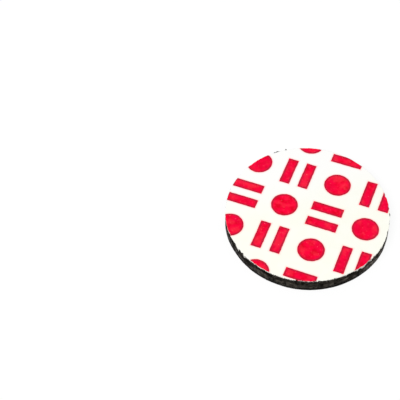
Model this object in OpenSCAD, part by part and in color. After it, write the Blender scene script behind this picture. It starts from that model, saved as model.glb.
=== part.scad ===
// Self-adhesive flexible magnetic disc.
// A round dot punched in one stroke from a laminate of magnetic rubber sheet, double-sided
// adhesive and release liner. It lies on its bare magnet face, with the liner on top.
// Origin: centre of the bare magnet face. +Z runs out through the liner. Millimetres.

/* [Disc] */
// Diameter of the punch, which is the widest size of the disc
disc_d = 20; // [12:0.5:60]
// Thickness of the magnetic rubber
magnet_t = 1.8; // [1.3:0.05:5]

/* [Adhesive] */
// Thickness of the double-sided adhesive
adhesive_t = 0.1; // [0.05:0.01:0.5]
// How far the cut adhesive shrinks back inside the punch diameter
adhesive_set_back = 0.05; // [0:0.01:0.2]

/* [Release liner] */
// Thickness of the coated paper liner
liner_t = 0.1; // [0.06:0.01:0.3]
// How far the liner's edge lies inside the punch diameter
liner_set_back = 0.02; // [0:0.01:0.2]
// Radius of the liner's top edge, pressed down by the stripper plate
liner_edge_r = 0.03; // [0.01:0.005:0.05]

/* [Punched edge of the rubber] */
// Radius of the edge that the punch rolls over, at the bare face
roll_r = 0.08; // [0.03:0.01:0.3]
// Height of the band that tears instead of shearing, near the adhesive
torn_h = 0.65; // [0.2:0.05:0.9]
// How deep the middle of the torn band lies inside the punch diameter
torn_depth = 0.07; // [0.02:0.01:0.15]
// Height of the thin lip left between the torn band and the adhesive
lip_h = 0.07; // [0.05:0.01:0.15]

/* [Crumbled nicks] */
// Number of nicks where the torn band crumbled away through the lip
nick_count = 26; // [0:1:60]
// Share of the nicks that go on up through the adhesive and the liner
bite_share = 0.5; // [0:0.05:1]
// Radius of the smallest nick
nick_min_r = 0.15; // [0.1:0.01:0.3]
// Radius of the largest nick
nick_max_r = 0.45; // [0.3:0.01:0.8]
// How far a nick cuts in past the punch diameter
nick_depth = 0.08; // [0.03:0.01:0.15]
// Number that picks which random places the nicks take
nick_seed = 11; // [1:1:99]

/* [Hidden] */
$fn = 96;

disc_r = disc_d / 2;
magnet_top = magnet_t;
adhesive_top = magnet_top + adhesive_t;
liner_top = adhesive_top + liner_t;

// The torn band is an arc, torn_h high and torn_depth deep, that stops under the lip
torn_mid_z = magnet_top - lip_h - torn_h / 2;
torn_arc_r = (pow(torn_h / 2, 2) + pow(torn_depth, 2)) / (2 * torn_depth);

// Nicks reach from the middle of the torn band up through the lip, and the first bite_count of
// them on through the adhesive and the liner
nick_angles = rands(0, 360, nick_count, nick_seed);
nick_radii = rands(nick_min_r, nick_max_r, nick_count, nick_seed + 1);
bite_count = round(nick_count * bite_share);
nick_overrun = 0.5;

// Section of the rubber from the axis out to the punched edge
module magnet_section() {
    difference() {
        union() {
            square([disc_r - roll_r, magnet_t]);
            translate([0, roll_r]) square([disc_r, magnet_t - roll_r]);
            translate([disc_r - roll_r, roll_r]) circle(r = roll_r);
        }
        translate([disc_r + torn_arc_r - torn_depth, torn_mid_z]) circle(r = torn_arc_r);
    }
}

// What the first count nicks take away, from low_z up past high_z
module nicks(count, low_z, high_z) {
    for (i = [0:1:count - 1])
        rotate([0, 0, nick_angles[i]])
            translate([disc_r + nick_radii[i] - nick_depth, 0, low_z])
                cylinder(r = nick_radii[i], h = high_z + nick_overrun - low_z);
}

module magnet_disc() {
    color([0.19, 0.17, 0.15])
        difference() {
            rotate_extrude() magnet_section();
            nicks(nick_count, torn_mid_z, magnet_top);
        }
}

module adhesive_layer() {
    color([0.88, 0.87, 0.80])
        difference() {
            translate([0, 0, magnet_top])
                cylinder(r = disc_r - adhesive_set_back, h = adhesive_t);
            nicks(bite_count, magnet_top - nick_overrun, adhesive_top);
        }
}

// Section of the liner, with its outer top edge rounded over
module liner_section() {
    liner_r = disc_r - liner_set_back;
    square([liner_r, liner_t - liner_edge_r]);
    square([liner_r - liner_edge_r, liner_t]);
    translate([liner_r - liner_edge_r, liner_t - liner_edge_r]) circle(r = liner_edge_r);
}

module release_liner() {
    color([0.99, 0.98, 0.94])
        difference() {
            translate([0, 0, adhesive_top])
                rotate_extrude() liner_section();
            nicks(bite_count, adhesive_top - nick_overrun, liner_top);
        }
}

magnet_disc();
adhesive_layer();
release_liner();
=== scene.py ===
"""Looks of the self-adhesive magnetic disc: a punched rubber dot, lying liner up on a pale floor."""

import math
import random

import bmesh
import bpy
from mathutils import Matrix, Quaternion, Vector, noise
from mathutils.geometry import delaunay_2d_cdt


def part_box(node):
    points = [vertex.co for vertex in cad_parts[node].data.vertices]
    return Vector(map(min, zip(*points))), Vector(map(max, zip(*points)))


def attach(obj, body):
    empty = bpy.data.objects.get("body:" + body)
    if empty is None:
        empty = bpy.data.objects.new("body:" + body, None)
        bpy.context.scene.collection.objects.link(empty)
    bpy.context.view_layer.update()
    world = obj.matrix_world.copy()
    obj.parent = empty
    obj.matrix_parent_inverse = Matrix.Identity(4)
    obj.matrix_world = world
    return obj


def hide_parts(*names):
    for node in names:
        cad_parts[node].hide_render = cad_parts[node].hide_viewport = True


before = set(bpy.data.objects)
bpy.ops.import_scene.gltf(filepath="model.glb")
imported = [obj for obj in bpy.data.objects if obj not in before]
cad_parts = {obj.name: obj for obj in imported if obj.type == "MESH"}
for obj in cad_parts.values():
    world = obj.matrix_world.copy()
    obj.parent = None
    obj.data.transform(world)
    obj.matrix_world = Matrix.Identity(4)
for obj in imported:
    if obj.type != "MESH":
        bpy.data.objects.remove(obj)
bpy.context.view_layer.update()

MM = 0.001
TAU = 2 * math.pi

# ------------------------------------------------------------ sizes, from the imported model

magnet_low, magnet_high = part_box("magnet_disc")
adhesive_low, adhesive_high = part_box("adhesive_layer")
liner_low, liner_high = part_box("release_liner")


def box_radius(low, high):
    """Half the wider side, because nicks at the rim may make the other one a little narrower."""
    return max(high.x - low.x, high.y - low.y) / 2


DISC_R = box_radius(magnet_low, magnet_high)
ADHESIVE_R = box_radius(adhesive_low, adhesive_high)
LINER_R = box_radius(liner_low, liner_high)
MAGNET_TOP = magnet_high.z
ADHESIVE_TOP = adhesive_high.z
LINER_TOP = liner_high.z

# Steps round the rim, each about 0.044 mm long
RIM_STEPS = 1440
ANGLES = [TAU * i / RIM_STEPS for i in range(RIM_STEPS)]


# ------------------------------------------------------------ camera

# From the centre of the liner's face, in disc radii
CAMERA_FROM_FACE = Vector((-1.301, -7.774, 10.849))
CAMERA_DOWN_DEG = 53.52
CAMERA_ROLL_DEG = -2.56
SENSOR_MM = 36
LENS_MM = 98.55


def make_camera():
    data = bpy.data.cameras.new("camera")
    data.sensor_width = SENSOR_MM
    data.lens = LENS_MM
    data.clip_start = 1 * MM
    data.clip_end = 10
    camera = bpy.data.objects.new("camera", data)
    bpy.context.scene.collection.objects.link(camera)
    camera.location = CAMERA_FROM_FACE * DISC_R + Vector((0, 0, LINER_TOP))
    tilt = Quaternion((1, 0, 0), math.radians(90 - CAMERA_DOWN_DEG))
    roll = Quaternion((0, 0, 1), math.radians(CAMERA_ROLL_DEG))
    camera.rotation_mode = "QUATERNION"
    camera.rotation_quaternion = tilt @ roll
    bpy.context.scene.camera = camera


# ------------------------------------------------------------ material helpers

def new_material(name):
    """A new material, with its node tree and its Principled shader."""
    material = bpy.data.materials.new(name)
    material.use_nodes = True
    tree = material.node_tree
    return material, tree, tree.nodes["Principled BSDF"]


def add(tree, kind, inputs=(), **settings):
    """Adds a node. inputs is a dict from socket name or number to a value or to a socket."""
    made = tree.nodes.new("ShaderNode" + kind)
    for key, value in settings.items():
        setattr(made, key, value)
    for key, value in dict(inputs).items():
        feed(tree, made.inputs[key], value)
    return made


def feed(tree, socket, value):
    if isinstance(value, bpy.types.NodeSocket):
        tree.links.new(value, socket)
    else:
        socket.default_value = value


def object_place(tree):
    return add(tree, "TexCoord").outputs["Object"]


def attribute(tree, name):
    return add(tree, "Attribute", attribute_name=name).outputs["Fac"]


def noise_of(tree, place, grain, detail=3.0, roughness=0.55):
    """Noise from 0 to 1 with features about grain metres across."""
    made = add(tree, "TexNoise", {"Vector": place, "Scale": 1 / grain, "Detail": detail,
                                  "Roughness": roughness})
    return made.outputs["Fac"]


def ramp(tree, value, low, high, to_low=0.0, to_high=1.0):
    """Maps low..high to to_low..to_high, smoothly and clamped."""
    made = add(tree, "MapRange", {"Value": value, "From Min": low, "From Max": high,
                                  "To Min": to_low, "To Max": to_high},
               interpolation_type="SMOOTHSTEP")
    return made.outputs["Result"]


def blend_colours(tree, factor, first, second):
    made = add(tree, "Mix", {0: factor}, data_type="RGBA")
    feed(tree, made.inputs[6], first)
    feed(tree, made.inputs[7], second)
    return made.outputs[2]


def maths(tree, operation, first, second):
    made = add(tree, "Math", {0: first, 1: second}, operation=operation)
    return made.outputs[0]


def stretched(tree, place, scale):
    made = add(tree, "Mapping", {"Vector": place, "Scale": scale})
    return made.outputs["Vector"]


def roughen(tree, shader, height, strength, distance):
    bump = add(tree, "Bump", {"Strength": strength, "Distance": distance, "Height": height})
    feed(tree, shader.inputs["Normal"], bump.outputs["Normal"])


# ------------------------------------------------------------ materials

RUBBER_BROWNISH = (0.056, 0.048, 0.039, 1)
RUBBER_GREY = (0.064, 0.055, 0.045, 1)
# Dark end of the cut wall's tone, which the painted shade along the foot comes close to
RUBBER_DARKEST_TONE = (0.003, 0.0025, 0.002, 1)
# Top end of the cut wall's tone, which only the painted sheen reaches
RUBBER_PAINTED_SHEEN = (0.102, 0.088, 0.072, 1)
RUBBER_GLINT = (0.20, 0.18, 0.155, 1)
RUBBER_PAINTED_HIGHLIGHT = (0.30, 0.27, 0.23, 1)
RUBBER_DUST = (0.10, 0.09, 0.08, 1)
PAINTED_SHEEN_TONE = 1.6        # tone of the painted sheen colour, where 0 is the darkest colour and 1 is about the grey


def rubber_grain(tree, place):
    """Fine grain of the ferrite filling."""
    return noise_of(tree, place, 0.08 * MM, detail=4.0, roughness=0.7)


def face_material():
    """The bare magnet face: ferrite-filled rubber rolled smooth, with a satin gloss."""
    material, tree, shader = new_material("magnetic_rubber")
    place = object_place(tree)
    clouds = ramp(tree, noise_of(tree, place, 4.0 * MM), 0.3, 0.7)
    grain = rubber_grain(tree, place)
    body = blend_colours(tree, clouds, RUBBER_BROWNISH, RUBBER_GREY)
    body = blend_colours(tree, ramp(tree, grain, 0.60, 0.72, 0.0, 0.35), body, RUBBER_GLINT)
    # Painted highlight: a broken light line along the rolled edge
    broken = ramp(tree, noise_of(tree, place, 0.5 * MM), 0.40, 0.60)
    painted_highlight = maths(tree, "MULTIPLY", attribute(tree, "painted_highlight"), broken)
    body = blend_colours(tree, painted_highlight, body, RUBBER_PAINTED_HIGHLIGHT)
    feed(tree, shader.inputs["Base Color"], body)
    feed(tree, shader.inputs["Roughness"], ramp(tree, grain, 0.35, 0.7, 0.36, 0.52))
    shader.inputs["Specular IOR Level"].default_value = 0.25
    roughen(tree, shader, grain, 0.6, 0.015 * MM)
    return material


def cut_rubber_material():
    """The cut wall, dull where it tore. The mesh says how light each place is, painted sheen and shade
    included, and how torn.
    """
    material, tree, shader = new_material("cut_rubber")
    place = object_place(tree)
    torn = attribute(tree, "torn")
    tone = attribute(tree, "tone")
    grain = rubber_grain(tree, place)
    lightness = maths(tree, "DIVIDE", tone, PAINTED_SHEEN_TONE)
    body = blend_colours(tree, lightness, RUBBER_DARKEST_TONE, RUBBER_PAINTED_SHEEN)
    glints = ramp(tree, grain, 0.60, 0.72, 0.0, 0.5)
    body = blend_colours(tree, maths(tree, "MULTIPLY", glints, tone), body, RUBBER_GLINT)
    feed(tree, shader.inputs["Base Color"], body)
    polish = ramp(tree, grain, 0.35, 0.7, 0.45, 0.65)
    dulled = add(tree, "Mix", {0: torn, 2: polish, 3: 0.95})
    feed(tree, shader.inputs["Roughness"], dulled.outputs[0])
    # The darkest places, mostly the painted shade along the foot, have next to no gloss
    feed(tree, shader.inputs["Specular IOR Level"], ramp(tree, tone, 0, 0.2, 0.012, 0.05))
    roughen(tree, shader, grain, 0.6, 0.015 * MM)
    return material


def adhesive_material():
    """Milky acrylic adhesive, seen only as a thin line at the cut, where rubber dust clings to it."""
    material, tree, shader = new_material("adhesive")
    place = object_place(tree)
    clouds = ramp(tree, noise_of(tree, place, 0.35 * MM), 0.35, 0.65)
    # Smears thin out towards their tips, where more of the rubber shows
    thinner = maths(tree, "MULTIPLY", attribute(tree, "thin"), 0.14)
    specks = maths(tree, "ADD", noise_of(tree, place, 0.09 * MM), thinner)
    dust = ramp(tree, specks, 0.55, 0.70, 0.0, 0.75)
    film = blend_colours(tree, clouds, (0.52, 0.51, 0.46, 1), (0.84, 0.83, 0.77, 1))
    feed(tree, shader.inputs["Base Color"], blend_colours(tree, dust, film, RUBBER_DUST))
    feed(tree, shader.inputs["Roughness"], ramp(tree, clouds, 0, 1, 0.35, 0.55))
    return material


def paper_fibres(tree, place):
    """Fibres that run one way, under the bare and the printed places of the sheet."""
    along_grain = stretched(tree, place, (1.0, 0.25, 1.0))
    return noise_of(tree, along_grain, 0.10 * MM, detail=4.0, roughness=0.65)


def paper_finish(tree, shader, fibres, smooth, matt):
    """The silicone coat has hardly any gloss from straight above."""
    feed(tree, shader.inputs["Roughness"], ramp(tree, fibres, 0.3, 0.7, smooth, matt))
    shader.inputs["Specular IOR Level"].default_value = 0.03
    roughen(tree, shader, fibres, 0.25, 0.004 * MM)


INK_RIM_W = 0.34 * MM      # denser line that the plate squeezed out along the edges of the print
INK_FEATHER_W = 0.11 * MM  # the outermost edge of the ink, where it is thinner again
HAZE_W = 0.25 * MM         # faint haze of ink just outside the print

# Painted light: the sheet is painted whiter this way, over this stretch from the disc's middle
PAINTED_LIGHT_TOWARDS = (-0.2, 0.98, 0.0)
PAINTED_LIGHT_FROM = -1 * MM
PAINTED_LIGHT_TO = 7 * MM


def paper_material():
    """Cream coated paper with faint clouds, fibres that show through, and a haze round the print."""
    material, tree, shader = new_material("liner_paper")
    place = object_place(tree)
    fibres = paper_fibres(tree, place)
    clouds = ramp(tree, noise_of(tree, place, 1.6 * MM, detail=4.0), 0.35, 0.65)
    sheet = blend_colours(tree, clouds, (0.990, 0.990, 0.890, 1), (0.998, 0.998, 0.920, 1))
    # Painted light: the sheet is painted whiter towards one side
    along = add(tree, "VectorMath", {0: place, 1: PAINTED_LIGHT_TOWARDS}, operation="DOT_PRODUCT")
    painted_light_share = ramp(tree, along.outputs["Value"], PAINTED_LIGHT_FROM, PAINTED_LIGHT_TO, 0.0, 0.9)
    sheet = blend_colours(tree, painted_light_share, sheet, (0.998, 0.998, 0.988, 1))
    bare = ramp(tree, fibres, 0.56, 0.75, 0.0, 0.4)
    sheet = blend_colours(tree, bare, sheet, (0.970, 0.962, 0.875, 1))
    haze = ramp(tree, attribute(tree, "ink_depth"), -HAZE_W, 0, 0.0, 0.32)
    sheet = blend_colours(tree, haze, sheet, (1.0, 0.42, 0.40, 1))
    feed(tree, shader.inputs["Base Color"], sheet)
    paper_finish(tree, shader, fibres, 0.38, 0.52)
    return material


def ink_material():
    """Red flexographic ink: mottled, thin in patches and flecks, pinholed, and dense at its edge."""
    material, tree, shader = new_material("print_ink")
    place = object_place(tree)
    fibres = paper_fibres(tree, place)
    mottle = ramp(tree, noise_of(tree, place, 0.70 * MM), 0.32, 0.60)
    ink = blend_colours(tree, mottle, (0.78, 0.0, 0.018, 1), (0.99, 0.0008, 0.043, 1))
    pinker = ramp(tree, noise_of(tree, place, 3.0 * MM, detail=2.0), 0.42, 0.60, 0.0, 0.42)
    ink = blend_colours(tree, pinker, ink, (0.90, 0.0015, 0.062, 1))
    patches = ramp(tree, noise_of(tree, place, 1.3 * MM, detail=2.0), 0.48, 0.66, 0.0, 0.42)
    ink = blend_colours(tree, patches, ink, (1.0, 0.034, 0.062, 1))
    thin = ramp(tree, noise_of(tree, place, 0.30 * MM, detail=2.0), 0.60, 0.72, 0.0, 0.35)
    ink = blend_colours(tree, thin, ink, (0.99, 0.050, 0.080, 1))
    pinholes = ramp(tree, noise_of(tree, place, 0.13 * MM, detail=1.0), 0.745, 0.79, 0.0, 0.6)
    ink = blend_colours(tree, pinholes, ink, (0.98, 0.35, 0.38, 1))
    depth = attribute(tree, "ink_depth")
    squeezed = ramp(tree, depth, INK_RIM_W, INK_FEATHER_W)
    feathered = ramp(tree, depth, 0, INK_FEATHER_W, 0.1, 1.0)
    dense = maths(tree, "MULTIPLY", squeezed, feathered)
    uneven = ramp(tree, noise_of(tree, place, 0.6 * MM, detail=2.0), 0.35, 0.60, 0.70, 1.0)
    dense = maths(tree, "MULTIPLY", dense, uneven)
    ink = blend_colours(tree, dense, ink, (0.43, 0.014, 0.045, 1))
    feed(tree, shader.inputs["Base Color"], ink)
    paper_finish(tree, shader, fibres, 0.32, 0.45)
    return material


def cut_paper_material():
    """The liner's cut edge: bare fluffy fibres."""
    material, tree, shader = new_material("cut_paper")
    place = object_place(tree)
    fluff = noise_of(tree, place, 0.07 * MM)
    tufts = ramp(tree, fluff, 0.35, 0.65)
    fibre = blend_colours(tree, tufts, (0.80, 0.78, 0.72, 1), (0.96, 0.95, 0.91, 1))
    feed(tree, shader.inputs["Base Color"], fibre)
    shader.inputs["Roughness"].default_value = 0.9
    shader.inputs["Specular IOR Level"].default_value = 0.1
    roughen(tree, shader, fluff, 0.6, 0.015 * MM)
    return material


# ------------------------------------------------------------ shape helpers

# Corners of a square, counter-clockwise
SQUARE = ((-1, -1), (1, -1), (1, 1), (-1, 1))


def smoothstep(low, high, value):
    t = min(max((value - low) / (high - low), 0), 1)
    return t * t * (3 - 2 * t)


def lerp(first, second, share):
    return first + (second - first) * share


def around(radius, angle, z):
    return Vector((radius * math.cos(angle), radius * math.sin(angle), z))


def wall_place(angle, z, wide, tall, seed):
    """Where a place on the wall lies in a noise with features of this width and height."""
    apart = 7.31 * seed
    return Vector((DISC_R * math.cos(angle) / wide, DISC_R * math.sin(angle) / wide, z / tall + apart))


def rim_noise(angle, wide, seed):
    """Noise from about -1 to 1 along the rim."""
    return noise.noise(wall_place(angle, 0, wide, 1, seed))


def wall_noise(angle, z, wide, tall, seed):
    """Noise from about -1 to 1 over the cut wall."""
    return noise.noise(wall_place(angle, z, wide, tall, seed))


def lump(angle, z, wide, tall, seed):
    """Splits the wall into lumps: a random level for each, about -1 to 1, and 1 at its seams, else 0."""
    distances, centres = noise.voronoi(wall_place(angle, z, wide, tall, seed))
    # Spread out in the noise, so that neighbours differ
    level = 1.6 * noise.noise(centres[0] * 2.7)
    return level, smoothstep(0.16, 0.02, distances[1] - distances[0])


def angle_between(a, b):
    """How far apart two angles are, from 0 to pi."""
    return abs((a - b + math.pi) % TAU - math.pi)


def ring_strips(bm, rings):
    """Joins each ring of vertices to the next with quads. The rings run outwards, up and inwards."""
    strips = []
    for low, high in zip(rings, rings[1:]):
        strips.append([])
        for i in range(len(low)):
            j = (i + 1) % len(low)
            strips[-1].append(bm.faces.new((low[i], low[j], high[j], high[i])))
    return strips


def sharpen(bm, limit_deg):
    """Shades smooth, except across edges that turn by limit_deg or more."""
    limit = math.radians(limit_deg)
    for face in bm.faces:
        face.smooth = True
    for edge in bm.edges:
        edge.smooth = edge.calc_face_angle(0) < limit


def new_piece(name, bm, materials, replaced):
    mesh = bpy.data.meshes.new(name)
    bm.to_mesh(mesh)
    bm.free()
    for material in materials:
        mesh.materials.append(material)
    piece = bpy.data.objects.new(name, mesh)
    bpy.context.scene.collection.objects.link(piece)
    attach(piece, "root")
    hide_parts(replaced)
    return piece


# ------------------------------------------------------------ how the punch cut the edge

# Painted highlight line on the bare face: how far inside the disc's edge it starts, and its width
HIGHLIGHT_FROM_EDGE = 0.10 * MM
HIGHLIGHT_W = 0.16 * MM
ROLL_R = 0.08 * MM         # rolled edge at the bare face
TORN_H = 0.65 * MM         # band that tore, under the lip
TORN_DEPTH = 0.07 * MM
LIP_H = 0.07 * MM
FOOT_SHADE_H = 0.60 * MM         # painted shade: a dark band along the foot of the wall, next to the floor

# Stretches of the wall with painted sheen, or with painted shade where the amount is below 0: middle and
# half width in degrees, and how much lighter
PAINTED_SHEEN_AND_SHADE = ((323, 17, 1.05), (242, 24, 0.17), (283, 16, -0.10), (207, 16, -0.18))
# Stretches where the soft disc sprang back out of round: middle and half width in degrees, and mm
# outwards
BULGES = ((188, 14, 0.045), (212, 14, -0.020), (262, 18, 0.025), (299, 14, -0.020), (325, 12, 0.035))

BITE_COUNT = 22            # small bites out of the liner's edge, all round

# Crumbs of rubber at the lip: angle in degrees, then half width, height and how far each stands out
CRUMBS_MM = (
    (196, 0.20, 0.11, 0.01), (203.6, 0.42, 0.07, 0.02), (211.0, 0.12, 0.13, 0.02),
    (214.3, 0.15, 0.10, 0.02), (227.2, 0.14, 0.17, 0.04), (295.4, 0.46, 0.06, 0.02),
    (310.4, 0.16, 0.10, 0.01), (316.6, 0.14, 0.08, 0.01), (330.2, 0.10, 0.10, 0.02),
    (354.8, 0.22, 0.20, 0.05), (100.3, 0.12, 0.11, 0.22), (107.4, 0.50, 0.135, 0.18),
)
CRUMB_BITE = 0.30          # bite behind a crumb, as a share of the crumb's height
# Low fringe of rubber at the lip, from the first angle to the last, in degrees
FRINGE_DEG = (228, 285)
HIGH_FRINGE_DEG = (257, 273)
FRINGE_END_DEG = 5
# Stretch where the adhesive hangs lower, in degrees
DRAGGED_DEG = (296, 336)
DRAGGED_END_DEG = 4
# Places where the soft adhesive was dragged down over the lip: angle in degrees, half width, length
SMEARS_MM = (
    (191.5, 0.30, 0.20), (199.5, 0.26, 0.20), (208.5, 0.28, 0.50), (216.4, 0.25, 0.52),
    (221.5, 0.30, 0.18), (291.6, 0.22, 0.28), (301.2, 0.22, 0.34), (306.1, 0.48, 0.50),
    (313.9, 0.34, 0.40), (321.5, 0.50, 0.26), (327.3, 0.30, 0.34), (332, 0.22, 0.24),
)
LEAST_SMEAR = 0.004 * MM   # keeps the adhesive's mesh sound where a crumb holds it back
SMEAR_SKIN = 0.010 * MM    # how thick the adhesive lies over the lip
# A smear that is longer than this swells past the cut, by this share of the rest of its length
SWELLS_FROM = 0.12 * MM
SWELL_SHARE = 0.16


def make_bites():
    """Bites out of the liner's edge: angle, half width as an angle, and depth."""
    dice = random.Random(5)
    bites = []
    for _ in range(BITE_COUNT):
        angle = dice.uniform(0, TAU)
        half = dice.uniform(0.09, 0.30) * MM / DISC_R
        depth = dice.uniform(0.02, 0.07) * MM
        bites.append((angle, half, depth))
    return bites


BITES = make_bites()


def crumb_share(angle, at_deg, half_mm):
    """From 0 at a crumb's ends to 1 at its middle."""
    away = angle_between(angle, math.radians(at_deg)) * DISC_R / (half_mm * MM)
    return math.sqrt(1 - away ** 2) if away < 1 else 0


def stretch_share(angle, ends_deg, fade_deg):
    """1 between two angles, falling to 0 past either end."""
    low, high = ends_deg
    past = angle_between(angle, math.radians(low + high) / 2) - math.radians(high - low) / 2
    return smoothstep(math.radians(fade_deg), 0, past)


def spread(angle, stretches):
    """What the stretches add up to at this angle, each fading out from its middle."""
    total = 0
    for at, half, amount in stretches:
        away = math.degrees(angle_between(angle, math.radians(at)))
        total += amount * smoothstep(half, 0.3 * half, away)
    return total


def bite_depth(angle):
    """How far the liner's edge is bitten back at this angle, with steep sides and a flat floor."""
    depth = 0
    for at, half, deep in BITES:
        away = angle_between(angle, at) / half
        depth = max(depth, deep * smoothstep(1.0, 0.5, away))
    for at, half, high, _ in CRUMBS_MM:
        depth = max(depth, CRUMB_BITE * high * MM * smoothstep(0, 0.6, crumb_share(angle, at, half)))
    return depth


def crumb_size(angle):
    """How far the rubber stands up past its own top face at this angle, and how far it stands out."""
    low_share = stretch_share(angle, FRINGE_DEG, FRINGE_END_DEG)
    high_share = stretch_share(angle, HIGH_FRINGE_DEG, FRINGE_END_DEG)
    ragged = (0.05 + 0.08 * rim_noise(angle, 0.16 * MM, 22) + 0.05 * rim_noise(angle, 0.09 * MM, 23)
              + (0.12 + 0.06 * rim_noise(angle, 0.24 * MM, 24)) * high_share)
    height = max(ragged, 0) * MM * low_share
    outward = 0.02 * MM * high_share
    for at, half, high, out in CRUMBS_MM:
        share = crumb_share(angle, at, half) * (0.85 + 0.5 * rim_noise(angle, 0.12 * MM, 21))
        height = max(height, high * MM * share)
        outward = max(outward, out * MM * share)
    return height, outward


def smear_length(angle):
    """How far the adhesive hangs down over the rubber's lip, or would without crumbs in its way."""
    length = 0.008 + 0.060 * rim_noise(angle, 0.45 * MM, 51) + 0.050 * rim_noise(angle, 0.13 * MM, 52)
    length += 0.12 * stretch_share(angle, DRAGGED_DEG, DRAGGED_END_DEG)
    ragged = 1 + 0.40 * rim_noise(angle, 0.13 * MM, 53) + 0.35 * rim_noise(angle, 0.06 * MM, 54)
    for at, half, long in SMEARS_MM:
        length = max(length, long * ragged * crumb_share(angle, at, half))
    return length * MM


PAINTED_SHEEN_AND_SHADE_AT = [spread(a, PAINTED_SHEEN_AND_SHADE) for a in ANGLES]
BULGE_AT = [spread(a, BULGES) * MM for a in ANGLES]
BITTEN = [bite_depth(a) for a in ANGLES]
CRUMBED = [crumb_size(a) for a in ANGLES]
# Crumbs hold the adhesive back
SMEARED = [max(smear_length(a) * smoothstep(0.03 * MM, 0, CRUMBED[i][0]), LEAST_SMEAR)
           for i, a in enumerate(ANGLES)]
# Where a long smear swells, it pushes the liner's edge out with it
SWOLLEN = [SWELL_SHARE * max(length - SWELLS_FROM, 0) for length in SMEARED]


def liner_edge_r(i):
    """Radius of the liner's ragged edge at a step of the rim."""
    angle = ANGLES[i]
    ragged = (0.022 * rim_noise(angle, 0.9 * MM, 1) + 0.022 * rim_noise(angle, 0.20 * MM, 2)
              + 0.012 * rim_noise(angle, 0.09 * MM, 12))
    return LINER_R + BULGE_AT[i] + SWOLLEN[i] + ragged * MM - BITTEN[i]


def adhesive_edge_r(i):
    """Radius of the adhesive's edge under the liner, at a step of the rim."""
    angle = ANGLES[i]
    ragged = 0.020 * rim_noise(angle, 0.6 * MM, 3) + 0.014 * rim_noise(angle, 0.2 * MM, 4)
    return ADHESIVE_R + BULGE_AT[i] + SWOLLEN[i] + ragged * MM - BITTEN[i]


def rubber_wall(i, z):
    """Radius of the cut wall, how torn it is, from 0 to 1, and its tone with painted sheen and shade, from
    0 to PAINTED_SHEEN_TONE.
    """
    angle = ANGLES[i]
    roll = 0
    if z < ROLL_R:
        roll = ROLL_R - math.sqrt(max(ROLL_R ** 2 - (ROLL_R - z) ** 2, 0))
    low = MAGNET_TOP - LIP_H - TORN_H * (1 + 0.34 * rim_noise(angle, 1.5 * MM, 5)
                                         + 0.22 * rim_noise(angle, 0.4 * MM, 6))
    torn = smoothstep(low - 0.04 * MM, low + 0.04 * MM, z)
    lip = smoothstep(MAGNET_TOP - 1.3 * LIP_H, MAGNET_TOP - 0.5 * LIP_H, z)
    # Shallow flakes pulled out of the burnished band
    flake, _ = lump(angle, z, 0.55 * MM, 0.40 * MM, 31)
    flaked = smoothstep(0.05, 0.25, flake) * (1 - torn) * smoothstep(0.5 * FOOT_SHADE_H, 1.2 * FOOT_SHADE_H, z)
    # Crumbly lumps in three sizes where it tore, and upright streaks and waves where it didn't
    chunk, _ = lump(angle, z, 0.60 * MM, 0.36 * MM, 13)
    big, big_seam = lump(angle, z, 0.26 * MM, 0.20 * MM, 9)
    small, small_seam = lump(angle, z, 0.11 * MM, 0.10 * MM, 10)
    rough = 0.025 * chunk + 0.035 * big + 0.020 * small - 0.020 * big_seam - 0.010 * small_seam
    streak = wall_noise(angle, z, 0.07 * MM, 0.9 * MM, 7)
    wave = wall_noise(angle, z, 0.36 * MM, 1.3 * MM, 8)
    patch = wall_noise(angle, z, 1.1 * MM, 0.9 * MM, 14)
    smooth = 0.010 * streak + 0.014 * wave
    raggedness = max(torn, flaked)
    outward = (smooth * (1 - raggedness) + rough * (torn + 0.55 * flaked)) * MM - 0.022 * MM * flaked
    outward += CRUMBED[i][1] * smoothstep(MAGNET_TOP - 0.4 * MM, MAGNET_TOP - 0.05 * MM, z)
    hollow = TORN_DEPTH * torn * (1 - 0.75 * lip)
    radius = DISC_R + BULGE_AT[i] - roll - hollow + outward
    # Painted sheen lightens the burnished band and raises its contrast on the sheen stretches. The torn
    # band under the lip is painted darker as its shade under the liner's edge, with painted shade along
    # the seams between lumps
    lighter = PAINTED_SHEEN_AND_SHADE_AT[i]
    lively = 1 + 2 * max(lighter, 0)
    burnished_tone_with_sheen = 0.47 + lighter + lively * (0.85 * wave + 0.65 * patch + 0.35 * streak)
    torn_tone_with_shade = 0.24 + 0.20 * lighter + lively * (0.30 * chunk + 0.26 * big + 0.10 * small) - 0.10 * big_seam
    tone = lerp(burnished_tone_with_sheen, torn_tone_with_shade, raggedness)
    # Painted shade: a dark band along the foot of the wall, next to the floor
    foot_shade = smoothstep(FOOT_SHADE_H, 0.6 * FOOT_SHADE_H, z)
    tone = lerp(tone, 0.04 + 0.45 * max(lighter, 0) + 0.10 * wave, foot_shade)
    return radius, raggedness, min(max(tone, 0.03), PAINTED_SHEEN_TONE)


# ------------------------------------------------------------ pieces

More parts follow.
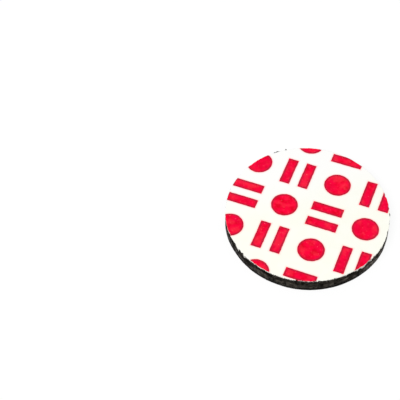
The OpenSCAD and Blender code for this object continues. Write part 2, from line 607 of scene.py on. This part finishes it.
def make_rubber(face_finish, cut_finish):
    bm = bmesh.new()
    torn_layer = bm.verts.layers.float.new("torn")
    tone_layer = bm.verts.layers.float.new("tone")
    painted_highlight_layer = bm.verts.layers.float.new("painted_highlight")

    def ring_of(places):
        """A ring of vertices, from each one's radius, height, how torn it is and how light."""
        ring = []
        for angle, (radius, z, torn, tone) in zip(ANGLES, places):
            vert = bm.verts.new(around(radius, angle, z))
            vert[torn_layer] = torn
            vert[tone_layer] = tone
            ring.append(vert)
        return ring

    # The bare face, where the painted highlight line is whitest at the third ring and gone at its
    # neighbours
    line_ends = [DISC_R - HIGHLIGHT_FROM_EDGE - HIGHLIGHT_W - 0.02 * MM * rim_noise(a, 0.3 * MM, 61) for a in ANGLES]
    rings = [ring_of((DISC_R - 5 * ROLL_R, 0, 0, 1) for _ in ANGLES),
             ring_of((radius, 0, 0, 1) for radius in line_ends),
             ring_of((DISC_R - HIGHLIGHT_FROM_EDGE - 0.5 * HIGHLIGHT_W, 0, 0, 1) for _ in ANGLES),
             ring_of((DISC_R - HIGHLIGHT_FROM_EDGE, 0, 0, 0.8) for _ in ANGLES)]
    for vert in rings[2]:
        vert[painted_highlight_layer] = 1
    face_rings = len(rings)
    # The rolled edge and the wall
    rows = 44
    heights = [ROLL_R * share for share in (0.0, 0.10, 0.30, 0.62)]
    heights += [ROLL_R + (MAGNET_TOP - ROLL_R) * i / rows for i in range(rows + 1)]
    for z in heights:
        places = []
        for i in range(RIM_STEPS):
            radius, torn, tone = rubber_wall(i, z)
            places.append((radius, z, torn, tone))
        rings.append(ring_of(places))
    # Crumbs rise from the lip, and fall to the top face inside it
    for inward, rise in ((0.02, 0.70), (0.06, 1.00), (0.11, 0.75), (0.15, 0.0)):
        places = []
        for i in range(RIM_STEPS):
            radius, torn, tone = rubber_wall(i, MAGNET_TOP)
            bumpy = 1 + 0.35 * rim_noise(ANGLES[i], 0.09 * MM, 40 + 100 * inward)
            z = MAGNET_TOP + CRUMBED[i][0] * rise * bumpy
            places.append((radius - inward * MM, z, 1, tone))
        rings.append(ring_of(places))
    rings.append(ring_of((DISC_R - 0.6 * MM, MAGNET_TOP, 1, 0.4) for _ in ANGLES))
    # All that follows the bare face is cut rubber
    for strip in ring_strips(bm, rings)[face_rings:]:
        for face in strip:
            face.material_index = 1
    bm.faces.new(list(reversed(rings[0])))
    bm.faces.new(rings[-1]).material_index = 1
    sharpen(bm, 50)
    return new_piece("rubber_disc", bm, [face_finish, cut_finish], "magnet_disc")


def make_adhesive(material):
    """The film between rubber and liner, with its soft edge dragged down over the rubber's lip."""
    bm = bmesh.new()
    thin_layer = bm.verts.layers.float.new("thin")
    thick = ADHESIVE_TOP - MAGNET_TOP
    # The dragged edge starts inside the rubber, comes out at its tip and lies on the wall as a skin
    hidden, tip, belly = [], [], []
    for i, angle in enumerate(ANGLES):
        low = MAGNET_TOP - SMEARED[i]
        halfway = MAGNET_TOP - 0.4 * SMEARED[i]
        skin = min(0.3 * SMEARED[i], SMEAR_SKIN) + SWOLLEN[i]
        hidden.append(bm.verts.new(around(rubber_wall(i, low)[0] - 0.03 * MM, angle, low)))
        tip.append(bm.verts.new(around(rubber_wall(i, low)[0] + 0.3 * skin, angle, low)))
        belly.append(bm.verts.new(around(rubber_wall(i, halfway)[0] + skin, angle, halfway)))
        tip[-1][thin_layer] = 1
        belly[-1][thin_layer] = 0.5
    inner = [bm.verts.new(around(ADHESIVE_R - 0.3 * MM, angle, MAGNET_TOP)) for angle in ANGLES]
    rings = [inner, hidden, tip, belly]
    for share, swell in ((0.15, 0.025), (0.5, 0.016), (1.0, 0.0)):
        z = MAGNET_TOP + thick * share
        rings.append([bm.verts.new(around(adhesive_edge_r(i) + swell * MM, angle, z))
                      for i, angle in enumerate(ANGLES)])
    ring_strips(bm, rings)
    bm.faces.new(list(reversed(rings[0])))
    bm.faces.new(rings[-1])
    sharpen(bm, 50)
    return new_piece("adhesive_film", bm, [material], "adhesive_layer")


# The print: a checkered field of round spots and pairs of bars, with every other row of bars turned
PRINT_TURN = math.radians(-24)
CELL = 5.15 * MM
PRINT_SHIFT = Vector((0.425, 0.0)) * CELL
SPOT_D = 3.3 * MM
BAR_W = 1.3 * MM
BAR_L = 3.9 * MM
BAR_GAP = 1.05 * MM
CORNER_R = 0.12 * MM
OUTLINE_STEP = 0.2 * MM    # between points along a bar's sides
INK_WOBBLE = 0.035 * MM    # how far the ink strays, and over what length
WOBBLE_LONG = 0.35 * MM
CELLS_OUT = 4              # cells from the middle to past the disc's edge


def spot_outline(centre, radius):
    steps = 64
    return [centre + radius * Vector((math.cos(TAU * i / steps), math.sin(TAU * i / steps)))
            for i in range(steps)]


def bar_outline(centre, half_w, half_h):
    """A bar with small round corners, and points along its sides for the ink to wobble at."""
    corners = [centre + Vector((x * half_w, y * half_h)) for x, y in SQUARE]
    outline = []
    for i, corner in enumerate(corners):
        before = (corners[i - 1] - corner).normalized() * CORNER_R
        after = corners[(i + 1) % 4] - corner
        for t in (0, 0.25, 0.5, 0.75, 1):
            outline.append(corner + before * (1 - t) ** 2 + after.normalized() * CORNER_R * t ** 2)
        steps = round(after.length / OUTLINE_STEP)
        for k in range(1, steps):
            along = CORNER_R + (after.length - 2 * CORNER_R) * k / steps
            outline.append(corner + after.normalized() * along)
    return outline


def cell_bars(row):
    """The two bars of a cell, which stand or lie: the middle of each one, and half its sides."""
    aside = (BAR_W + BAR_GAP) / 2
    if row % 2:
        return [(Vector((side * aside, 0)), BAR_W / 2, BAR_L / 2) for side in (-1, 1)]
    return [(Vector((0, side * aside)), BAR_L / 2, BAR_W / 2) for side in (-1, 1)]


def cell_outlines(column, row, inset):
    """The shapes in one cell of the print, each drawn this far inside its edge: a spot or two bars."""
    centre = Vector((column, row)) * CELL + PRINT_SHIFT
    if (column + row) % 2:
        return [spot_outline(centre, SPOT_D / 2 - inset)]
    return [bar_outline(centre + aside, half_w - inset, half_h - inset)
            for aside, half_w, half_h in cell_bars(row)]


def wobble(point):
    """How far the ink strays sideways at a place on the sheet."""
    place = point / WOBBLE_LONG
    far_off = place + Vector((0, 0, 17.3))
    return Vector((noise.noise(place), noise.noise(far_off), 0)) * INK_WOBBLE


def print_outlines(inset):
    """The printed shapes that reach the disc, each drawn this far inside its edge, as closed outlines."""
    turn = Quaternion((0, 0, 1), PRINT_TURN)
    outlines = []
    for row in range(-CELLS_OUT, CELLS_OUT + 1):
        for column in range(-CELLS_OUT, CELLS_OUT + 1):
            for shape in cell_outlines(column, row, inset):
                outline = []
                for point in shape:
                    flat = turn @ point.to_3d()
                    flat += wobble(flat)
                    outline.append(flat.to_2d())
                if min(p.length for p in outline) < DISC_R:
                    outlines.append(outline)
    return outlines


def ink_depth(point):
    """How far inside the edge of the nearest printed shape a place lies. Outside, it is below 0."""
    flat = Vector((point.x, point.y, 0))
    flat = Quaternion((0, 0, 1), -PRINT_TURN) @ (flat - wobble(flat - wobble(flat)))
    flat = flat.to_2d() - PRINT_SHIFT
    column, row = round(flat.x / CELL), round(flat.y / CELL)
    flat -= Vector((column, row)) * CELL
    if (column + row) % 2:
        return SPOT_D / 2 - flat.length
    return max(min(half_w - abs(flat.x - aside.x), half_h - abs(flat.y - aside.y))
               for aside, half_w, half_h in cell_bars(row))


def outer_loop(bm):
    """The vertices round the outside of a sheet, counter-clockwise seen from above."""
    start = next(e for e in bm.edges if e.is_boundary).link_loops[0]
    loop = [start.vert]
    follow = start
    while True:
        follow = follow.link_loop_next
        while not follow.edge.is_boundary:
            follow = follow.link_loop_radial_next.link_loop_next
        if follow.vert is loop[0]:
            return loop
        loop.append(follow.vert)


LINER_ROUND = 0.03 * MM    # rounded top edge of the liner
# Rings of the liner's cut edge from the top down, the last one on the adhesive: how far out and how far
# down each lies, in roundings, and how frayed it is
LINER_EDGE = ((0.7, 0.3, 0.3), (1.0, 1.0, 0.7), (1.0, 1.9, 1.0), (1.0, 2.8, 1.0), (1.0, None, 1.0))
ROUNDED_STRIPS = 2         # strips from the top down that the rounding takes up
# The liner's materials, in their order on the mesh
PAPER, INK, CUT = range(3)


def make_liner(paper, ink, cut):
    """The printed sheet: one flat mesh cut along the print, with a ragged cut edge below it."""
    bm = bmesh.new()
    depth_layer = bm.verts.layers.float.new("ink_depth")
    points = [around(liner_edge_r(i) - LINER_ROUND, ANGLES[i], 0).to_2d() / MM for i in range(RIM_STEPS)]
    # After the disc's own outline come those round the haze, then the print's and its denser line's
    outlines = [list(range(RIM_STEPS))]
    printed_from = 0
    for inset in (-HAZE_W, 0, INK_RIM_W):
        if inset == 0:
            printed_from = len(outlines)
        for outline in print_outlines(inset):
            outlines.append(list(range(len(points), len(points) + len(outline))))
            points += [point / MM for point in outline]
    # Triangles over the whole disc, each with the outlines that it lies inside
    points, _, cells, _, _, inside = delaunay_2d_cdt(points, [], outlines, 0, 1e-6)
    top = [bm.verts.new((point * MM).to_3d() + Vector((0, 0, LINER_TOP))) for point in points]
    for vert in top:
        vert[depth_layer] = min(max(ink_depth(vert.co), -HAZE_W), INK_RIM_W)
    for cell, owners in zip(cells, inside):
        if 0 in owners:
            face = bm.faces.new([top[i] for i in cell])
            face.material_index = INK if max(owners) >= printed_from else PAPER
    for vert in [v for v in bm.verts if not v.link_faces]:
        bm.verts.remove(vert)
    bm.normal_update()
    for face in bm.faces:
        if face.normal.z < 0:
            face.normal_flip()
    # The cut edge rounds over and hangs from the sheet, and the hidden side closes it
    loop = outer_loop(bm)
    rings = [loop]
    thick = LINER_TOP - ADHESIVE_TOP
    for outward, down, fray in LINER_EDGE:
        z = ADHESIVE_TOP if down is None else LINER_TOP - min(down * LINER_ROUND, 0.9 * thick)
        ring = []
        for vert in loop:
            angle = math.atan2(vert.co.y, vert.co.x)
            frayed = 0.014 * MM * fray * wall_noise(angle, z, 0.11 * MM, 0.05 * MM, 11)
            radius = vert.co.to_2d().length + outward * LINER_ROUND + frayed
            ring.append(bm.verts.new(around(radius, angle, z)))
            ring[-1][depth_layer] = vert[depth_layer]
        rings.append(ring)
    # Ink that reaches the cut follows the sheet over its rounded edge
    printed = [bm.edges.get((vert, loop[(i + 1) % len(loop)])).link_faces[0].material_index
               for i, vert in enumerate(loop)]
    for level, strip in enumerate(ring_strips(bm, rings[::-1])):
        rounded = level >= len(LINER_EDGE) - ROUNDED_STRIPS
        for face, inked in zip(strip, printed):
            face.material_index = inked if rounded else CUT
    bm.faces.new(list(reversed(rings[-1])))
    sharpen(bm, 40)
    return new_piece("printed_liner", bm, [paper, ink, cut], "release_liner")


# ------------------------------------------------------------ light and floor

SKY_LIGHT = 0.57
KEY_PLACE = (-0.25, -0.30, 0.55)
KEY_SIZE = 0.30
KEY_WATTS = 2.54
FLOOR_HALF = 0.5
FLOOR_Z = -0.02 * MM
FLOOR_GLOW = 0.895         # with what the floor's faint part reflects, it comes up to white


def make_world():
    """White to the camera and in reflections, and a plain grey level as light."""
    world = bpy.data.worlds.new("studio")
    bpy.context.scene.world = world
    world.use_nodes = True
    tree = world.node_tree
    rays = add(tree, "LightPath")
    seen = maths(tree, "MAXIMUM", rays.outputs["Is Camera Ray"], rays.outputs["Is Glossy Ray"])
    seen = maths(tree, "MAXIMUM", seen, rays.outputs["Is Transmission Ray"])
    background = tree.nodes["Background"]
    background.inputs["Color"].default_value = (1, 1, 1, 1)
    feed(tree, background.inputs["Strength"], ramp(tree, seen, 0, 1, SKY_LIGHT, 1.0))


def make_softbox(name, place, size, watts):
    """A square lamp that faces the middle of the disc."""
    data = bpy.data.lights.new(name, "AREA")
    data.shape = "SQUARE"
    data.size = size
    data.energy = watts
    lamp = bpy.data.objects.new(name, data)
    bpy.context.scene.collection.objects.link(lamp)
    lamp.location = place
    lamp.rotation_mode = "QUATERNION"
    lamp.rotation_quaternion = (-Vector(place)).to_track_quat("-Z", "Y")


def make_floor():
    """Pale floor: it takes the disc's shadow, and to the camera it glows up to white."""
    bm = bmesh.new()
    bm.faces.new([bm.verts.new((x * FLOOR_HALF, y * FLOOR_HALF, FLOOR_Z)) for x, y in SQUARE])
    mesh = bpy.data.meshes.new("floor")
    bm.to_mesh(mesh)
    bm.free()
    floor = bpy.data.objects.new("floor", mesh)
    bpy.context.scene.collection.objects.link(floor)
    material = bpy.data.materials.new("floor")
    material.use_nodes = True
    tree = material.node_tree
    tree.nodes.remove(tree.nodes["Principled BSDF"])
    rays = add(tree, "LightPath")
    seen = maths(tree, "MAXIMUM", rays.outputs["Is Camera Ray"], rays.outputs["Is Glossy Ray"])
    plain = add(tree, "BsdfDiffuse", {"Color": (0.8, 0.8, 0.8, 1)})
    faint = add(tree, "BsdfDiffuse", {"Color": (0.12, 0.12, 0.12, 1)})
    glow = add(tree, "Emission", {"Color": (1, 1, 1, 1), "Strength": FLOOR_GLOW})
    lit = add(tree, "AddShader", {0: faint.outputs[0], 1: glow.outputs[0]})
    mix = add(tree, "MixShader", {0: seen, 1: plain.outputs[0], 2: lit.outputs[0]})
    tree.links.new(mix.outputs[0], tree.nodes["Material Output"].inputs["Surface"])
    mesh.materials.append(material)


bpy.context.scene.view_settings.view_transform = "Standard"
make_camera()
make_world()
make_floor()
make_softbox("key", KEY_PLACE, KEY_SIZE, KEY_WATTS)

make_rubber(face_material(), cut_rubber_material())
make_adhesive(adhesive_material())
make_liner(paper_material(), ink_material(), cut_paper_material())
